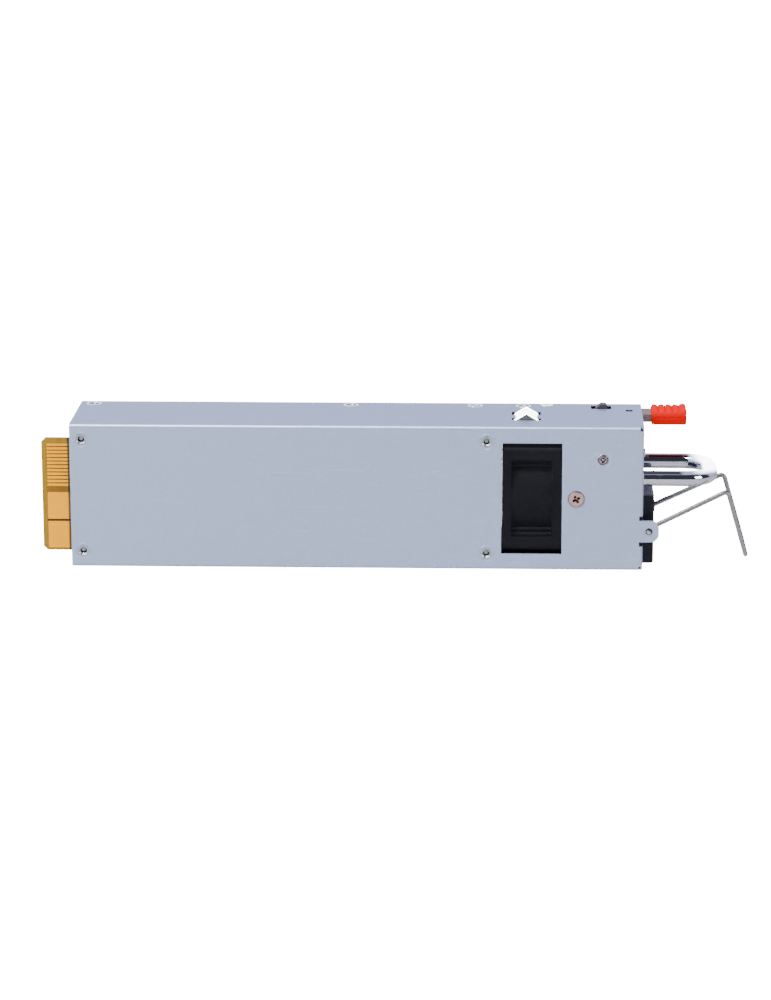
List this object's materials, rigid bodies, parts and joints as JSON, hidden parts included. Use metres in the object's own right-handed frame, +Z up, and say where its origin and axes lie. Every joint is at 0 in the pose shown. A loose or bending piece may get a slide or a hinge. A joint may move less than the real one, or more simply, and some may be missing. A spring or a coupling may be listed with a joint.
{
  "type": "hot swap server power supply",
  "caption": "Narrow hot swap server power supply with a card edge, side fan windows, mains inlet with wire bail, U handle and sprung latch.",
  "frame": {"origin": "middle of the narrow wall that the unit stands on, at its outer face", "axes": "+X from the card edge towards the handle, +Y from the board-side wide wall towards the cover, +Z up"},
  "size_m": [0.2631, 0.0416, 0.0567],
  "materials": {
    "zinc_sheet": "satin zinc-plated sheet steel",
    "zinc_screw": "bright zinc plate",
    "copper_screw": "copper-toned plate",
    "board_laminate": "glass-epoxy laminate with amber solder mask",
    "gold_contact": "gold plate",
    "insulator": "thin translucent film",
    "black_plastic": "fine moulded black",
    "bright_steel": "bright nickel plate",
    "handle_chrome": "polished chrome",
    "spring_wire": "plain spring steel",
    "clip_plate": "bright tin plate",
    "red_grip": "moulded vermilion plastic",
    "copper_wire": "enamelled copper",
    "ferrite": "grey ferrite",
    "capacitor_sleeve": "shrink sleeve",
    "film_case": "moulded yellow case",
    "disc_coating": "blue epoxy dip",
    "fuse_body": "white ceramic tube",
    "sink_aluminium": "mill-finish extrusion",
    "lead_brown": "insulated wire",
    "lead_blue": "insulated wire",
    "lead_green": "insulated wire",
    "lead_black": "insulated wire",
    "light_guide": "clear light guide"
  },
  "bodies": {
    "case": {"chassis": "zinc_sheet", "cover": "zinc_sheet", "cover_screws": "zinc_screw", "board_standoffs": "zinc_screw", "board_screws": "zinc_screw", "main_board": "board_laminate", "signal_contacts": "gold_contact", "power_contacts": "gold_contact", "insulating_film": "insulator", "fan_frame": "black_plastic", "fan_stator": "copper_wire", "fan_bracket": "zinc_sheet", "fan_screws": "zinc_screw", "bracket_screw": "copper_screw", "ground_stud": "zinc_screw", "ground_terminal": "bright_steel", "ground_nut": "zinc_screw", "latch_spring": "spring_wire", "latch_rivet": "zinc_screw", "inlet_body": "black_plastic", "inlet_pins": "bright_steel", "handle": "handle_chrome", "handle_screws": "zinc_screw", "live_lead": "lead_brown", "neutral_lead": "lead_blue", "earth_lead": "lead_green", "fan_leads": "lead_black", "status_light": "light_guide", "relay": "black_plastic", "fuse": "fuse_body", "choke_core": "ferrite", "choke_winding": "copper_wire", "film_capacitor": "film_case", "disc_capacitors": "disc_coating", "bridge_rectifier": "black_plastic", "pfc_core": "ferrite", "pfc_winding": "copper_wire", "bulk_capacitors": "capacitor_sleeve", "transformer_core": "ferrite", "transformer_coil": "copper_wire", "primary_heatsink": "sink_aluminium", "power_transistors": "black_plastic", "output_inductor": "ferrite", "output_capacitors": "capacitor_sleeve", "control_board": "board_laminate", "control_chips": "black_plastic"},
    "bail": {"bail": "spring_wire"},
    "latch": {"latch_arm": "spring_wire", "latch_grip": "red_grip"},
    "rotor": {"fan_rotor": "black_plastic", "fan_shaft": "bright_steel"},
    "clip": {"ground_clip": "clip_plate"}
  },
  "joints": [
    {"name": "bail_swing", "type": "hinge", "parent": "case", "child": "bail", "pos_m": [0.1085, 0, 0.015], "axis": [0, 1, 0], "range_deg": [-6, 70]},
    {"name": "latch_press", "type": "hinge", "parent": "case", "child": "latch", "pos_m": [0.0745, 0.0129, 0.05285], "axis": [0, 1, 0], "range_deg": [0, 8.2], "stiffness_Nm_per_rad": 2},
    {"name": "fan_spin", "type": "hinge", "parent": "case", "child": "rotor", "pos_m": [0.065, 0, 0.02725], "axis": [1, 0, 0], "continuous": true},
    {"name": "clip_press", "type": "slide", "parent": "case", "child": "clip", "axis": [0, 0, -1], "range_m": [0, 0.0015], "stiffness_N_per_m": 1500}
  ]
}
